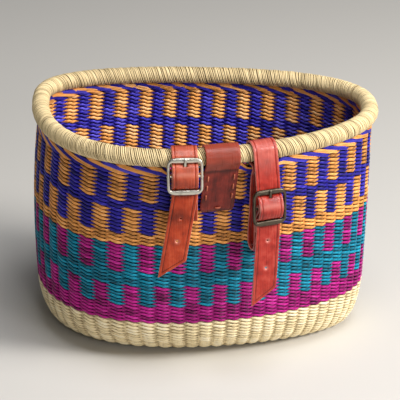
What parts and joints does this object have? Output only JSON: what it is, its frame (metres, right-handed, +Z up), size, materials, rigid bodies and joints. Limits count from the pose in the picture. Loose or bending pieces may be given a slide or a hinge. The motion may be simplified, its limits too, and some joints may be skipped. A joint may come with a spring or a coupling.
{
  "type": "bicycle basket",
  "caption": "Open oval bicycle basket of twined straw with dyed bands and checks, a wound rim, a laced leather patch, and buckled leather belts that loop over a handlebar.",
  "frame": {"origin": "on the underside of the woven floor, below the middle of the basket", "axes": "+Z up, -Y towards the belt side that faces the handlebar, +X to the right of someone who faces the belts"},
  "size_m": [0.3629, 0.2654, 0.2567],
  "materials": {
    "natural_straw": "undyed split straw, dry and slightly glossy",
    "magenta_straw": "straw dyed magenta, matte",
    "teal_straw": "straw dyed teal, matte",
    "teal_and_magenta_straw": "straw dyed teal and magenta, twined in checks",
    "orange_straw": "straw dyed orange, matte",
    "blue_straw": "straw dyed deep blue, matte",
    "orange_and_blue_straw": "straw dyed orange and deep blue, twined in checks",
    "belt_leather": "red-brown belt leather with worn edges",
    "patch_leather": "dark red-brown streaked leather",
    "lace_leather": "thin brown leather lace",
    "bright_nickel": "nickel plate, a little worn",
    "aged_brass": "dark aged brass"
  },
  "bodies": {
    "basket": {"woven_floor": "natural_straw", "natural_band": "natural_straw", "magenta_band": "magenta_straw", "lower_teal_checks": "teal_and_magenta_straw", "teal_band": "teal_straw", "upper_magenta_checks": "teal_and_magenta_straw", "orange_band": "orange_straw", "lower_orange_checks": "orange_and_blue_straw", "blue_band": "blue_straw", "upper_orange_checks": "orange_and_blue_straw", "border_courses": "orange_and_blue_straw", "rim_core": "natural_straw", "rim_wrap": "natural_straw", "rim_patch": "patch_leather", "patch_lacing": "lace_leather"},
    "left_strap": {"left_belt": "belt_leather", "left_buckle_frame": "bright_nickel", "left_centre_bar": "bright_nickel", "left_fold_rivet": "bright_nickel"},
    "left_end": {"left_tail": "belt_leather"},
    "left_tongue": {"left_prong": "bright_nickel"},
    "right_strap": {"right_belt": "belt_leather", "right_buckle_frame": "aged_brass", "right_centre_bar": "aged_brass", "right_fold_rivet": "aged_brass"},
    "right_end": {"right_tail": "belt_leather"},
    "right_tongue": {"right_prong": "aged_brass"}
  },
  "joints": [
    {"name": "left_strap_swing", "type": "hinge", "parent": "basket", "child": "left_strap", "pos_m": [-0.014, -0.11532, 0.24464], "axis": [-0.9972, -0.0749, 0], "range_deg": [0, 90]},
    {"name": "left_tail_flex", "type": "hinge", "parent": "left_strap", "child": "left_end", "pos_m": [-0.01288, -0.13023, 0.21273], "axis": [-0.9972, -0.0749, 0], "range_deg": [0, 70]},
    {"name": "left_prong_pivot", "type": "hinge", "parent": "left_strap", "child": "left_tongue", "pos_m": [-0.01285, -0.13068, 0.23164], "axis": [0.9972, 0.0749, 0], "range_deg": [0, 6]},
    {"name": "right_strap_swing", "type": "hinge", "parent": "basket", "child": "right_strap", "pos_m": [0.061, -0.09882, 0.24464], "axis": [-0.9379, -0.347, 0], "range_deg": [0, 90]},
    {"name": "right_tail_flex", "type": "hinge", "parent": "right_strap", "child": "right_end", "pos_m": [0.0686, -0.11935, 0.17576], "axis": [-0.9379, -0.347, 0], "range_deg": [0, 70]},
    {"name": "right_prong_pivot", "type": "hinge", "parent": "right_strap", "child": "right_tongue", "pos_m": [0.06898, -0.12039, 0.19464], "axis": [0.9379, 0.347, 0], "range_deg": [0, 6]}
  ]
}
